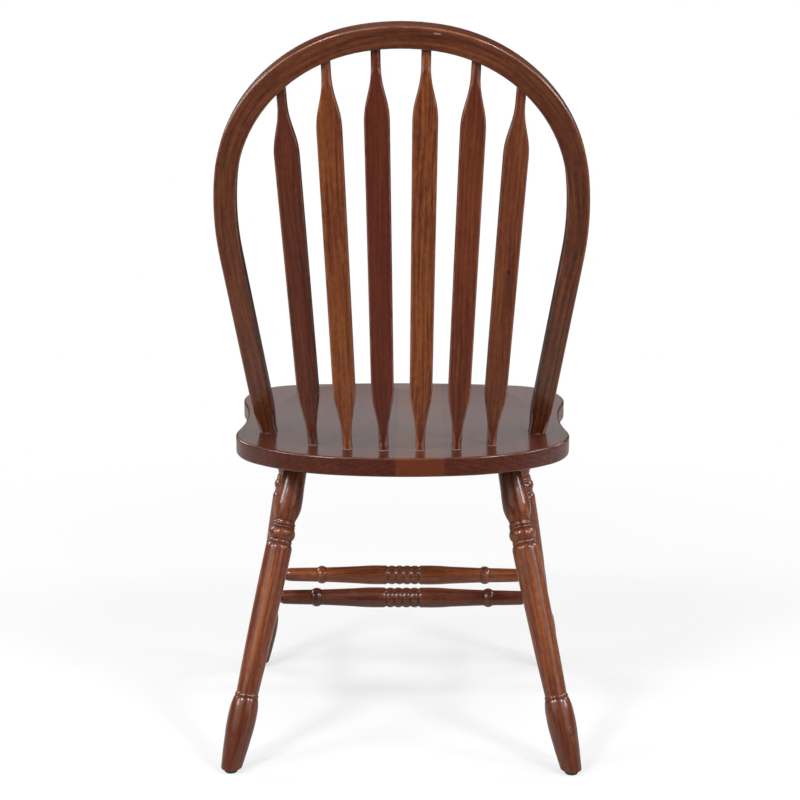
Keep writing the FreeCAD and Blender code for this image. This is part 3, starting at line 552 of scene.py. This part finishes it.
def lying_along(start, end):
    """The turn that takes Z along a lying line of the chair and keeps Y near the vertical."""
    z = (Vector(end) - Vector(start)).normalized()
    x = Vector((0, 0, 1)).cross(z).normalized()
    return Matrix((x, z.cross(x), z)).transposed().to_euler()


for number, (name, (start, end)) in enumerate(STRETCHER_LINES.items(), 1):
    finish = Finish(f"{name}_wood")
    middle = (Vector(start) + Vector(end)) / 2
    across, through, along = finish.place(metres(middle), lying_along(start, end))
    stain = PALER_STAIN if name == PALER_STRETCHER else STRETCHER_STAIN
    colour, height = finish.wood((across + number * STRETCHER_STEP, through, along),
                                 number * STRETCHER_SEED, stain, streaky=0.3)
    if name.startswith("cross"):
        # Painted shade in the grooves of the cross stretchers.
        for groove in STRETCHER_GROOVES:
            colour = finish.blend(along.unsigned().near(groove, 0.5, 2.4) * 0.4, colour,
                                  STRETCHER_GROOVE_PAINTED_SHADE)
    finish.lacquer(colour, height)
    finish.cover(name)


# Glides. A disc of dark moulded plastic is nailed under each foot, so that the chair slides
# and the floor isn't marked. Use has scuffed them grey.

PLASTIC_BLACK, SCUFFED_GREY = (0.012, 0.01, 0.009), (0.06, 0.055, 0.05)

glide_finish = Finish("glide_dark_plastic")
grit = glide_finish.noise(glide_finish.where(), detail=5.0, scale=700)
scuffs = grit.between(0.5, 0.75)
glide_finish.use(Base_Color=glide_finish.blend(scuffs * 0.6, PLASTIC_BLACK, SCUFFED_GREY),
                 Roughness=0.5 + scuffs * 0.3,
                 Normal=glide_finish.relief(grit, strength=0.3, distance=0.0003))
for corner in ("rear_left", "rear_right", "front_left", "front_right"):
    glide_finish.cover(f"glide_{corner}")


# Nails. Each glide has a bright drawn-steel nail through its middle into the end of the leg,
# hidden once it is driven.

STEEL_DULL, STEEL_BRIGHT = (0.4, 0.4, 0.41), (0.62, 0.62, 0.63)

nail_finish = Finish("nail_bright_steel")
drawn = nail_finish.noise(nail_finish.where(), scale=900)
nail_finish.use(Base_Color=nail_finish.blend(drawn, STEEL_DULL, STEEL_BRIGHT),
                Metallic=1.0, Roughness=0.25 + drawn * 0.25)
nail_finish.cover("glide_nails")


# Floor. A pale studio floor that keeps the chair's soft shadow and runs out to white. It sends
# less light back up to the chair on the rear side, where the room is dark.

WHITE = (1, 1, 1)
FLOOR_SIZE = 40
FLOOR_SEEN = (0.76, 0.76, 0.76)
FLOOR_LIT, FLOOR_DARK = (0.5, 0.5, 0.5), (0.1, 0.1, 0.1)
# In metres: where the floor darkens to the rear, and where it whitens all round.
DARKENS = (0.25, 0.9)
WHITENS = (0.5, 1.8)

bpy.ops.object.select_all(action="DESELECT")
bpy.ops.mesh.primitive_plane_add(size=FLOOR_SIZE, location=(0, 0, 0))
floor = bpy.context.object
floor.name = "studio_floor"
floor_finish = Finish("pale_floor")
where = floor_finish.where()
camera_ray = floor_finish.node("ShaderNodeLightPath", {}, {}, "Is Camera Ray")
to_rear = floor_finish.split(where)[1]
bounced = floor_finish.blend(to_rear.between(*DARKENS), FLOOR_LIT, FLOOR_DARK)
floor_finish.use(Base_Color=floor_finish.blend(camera_ray, bounced, FLOOR_SEEN),
                 Roughness=0.6, Specular_IOR_Level=0.2)
distance = floor_finish.node("ShaderNodeVectorMath", {"operation": "LENGTH"}, {0: where},
                             "Value")
whiteness = distance.between(*WHITENS, start=0.64)
white = floor_finish.node("ShaderNodeEmission", {}, {"Color": WHITE, "Strength": 1.0})
pale = Value(floor_finish, floor_finish.surface.outputs[0])
shown = floor_finish.node("ShaderNodeMixShader", {}, {0: whiteness * camera_ray, 1: pale,
                                                      2: white})
output = next(n for n in floor_finish.tree.nodes if n.type == "OUTPUT_MATERIAL")
floor_finish.join(shown, output.inputs["Surface"])
floor.data.materials.append(floor_finish.material)


# Light. The camera sees white all round. The chair stands in a dim room with a low bright
# window beyond it, two wide soft boxes and two small high lamps on the camera's side, a lamp
# at each side, one overhead and two in front. No metal or glass shows that would mirror white.

# The soft edges of the window, as directions from the chair: to the rear, up and aside.
BEYOND = (-0.35, -0.9)
SILL, LINTEL = (0.15, 0.27), (0.35, 0.47)
JAMBS = (0.13, 0.28)

world = bpy.data.worlds.new("studio")
bpy.context.scene.world = world
world.use_nodes = True
world.node_tree.nodes.clear()
room = Shading(world.node_tree)
to_left, to_rear, up = room.split(room.node("ShaderNodeTexCoord", {}, {}, "Generated"))
above_sill = up.between(*SILL, start=0.1, end=1.0)
below_lintel = up.between(*LINTEL, start=1.0, end=0.1)
between_jambs = to_left.unsigned().between(*JAMBS, start=1.0, end=0.12)
window = (to_rear.between(*BEYOND, start=0.09, end=0.82)
          * (between_jambs * (below_lintel * above_sill)))
lit = room.node("ShaderNodeBackground", {}, {"Color": WHITE, "Strength": window})
backdrop = room.node("ShaderNodeBackground", {}, {"Color": WHITE, "Strength": 1.0})
camera_ray = room.node("ShaderNodeLightPath", {}, {}, "Is Camera Ray")
shown = room.node("ShaderNodeMixShader", {}, {0: camera_ray, 1: lit, 2: backdrop})
room.node("ShaderNodeOutputWorld", {}, {"Surface": shown})

AIM = Vector((0, 0, 0.55))
# Each lamp's place in metres, its width and height, and its watts.
LAMPS = {
    "left_soft_box": ((2.2, 2.4, 1.6), 2.4, 2.0, 22),
    "right_soft_box": ((-2.2, 2.4, 1.6), 2.4, 2.0, 20),
    "high_left_lamp": ((1.5, 2.0, 2.8), 0.6, 0.6, 63),
    "high_right_lamp": ((-1.8, 1.8, 2.8), 0.6, 0.6, 54),
    "left_side_lamp": ((2.4, 1.1, 1.9), 0.7, 0.7, 31),
    "right_side_lamp": ((-2.6, 0.8, 1.7), 0.7, 0.7, 30),
    "overhead_soft_box": ((0.2, -0.1, 3.0), 2.2, 1.8, 14),
    "front_left_soft_box": ((2.6, -1.6, 1.9), 1.3, 1.3, 42),
    "front_right_soft_box": ((-2.8, -1.2, 2.1), 1.1, 1.1, 36),
}
for name, (place, width, height, power) in LAMPS.items():
    lamp = bpy.data.lights.new(name, "AREA")
    lamp.shape = "RECTANGLE"
    lamp.size = width
    lamp.size_y = height
    lamp.energy = power
    box = bpy.data.objects.new(name, lamp)
    box.location = place
    box.rotation_euler = (AIM - Vector(place)).to_track_quat("-Z", "Y").to_euler()
    bpy.context.scene.collection.objects.link(box)


# Camera. It stands behind the chair, a little below the top of its back, and looks down on
# the seat. Its turns are in degrees.

LOOKING_DOWN = 11.816
HEADING = 180.70
camera = bpy.data.cameras.new("photo_camera")
camera.lens = 72.54
camera.sensor_width = 36
viewer = bpy.data.objects.new("photo_camera", camera)
viewer.location = (-0.0246, 2.3533, 0.9894)
viewer.rotation_euler = (math.radians(90 - LOOKING_DOWN), 0, math.radians(HEADING))
bpy.context.scene.collection.objects.link(viewer)
bpy.context.scene.camera = viewer
bpy.context.scene.view_settings.view_transform = "Standard"
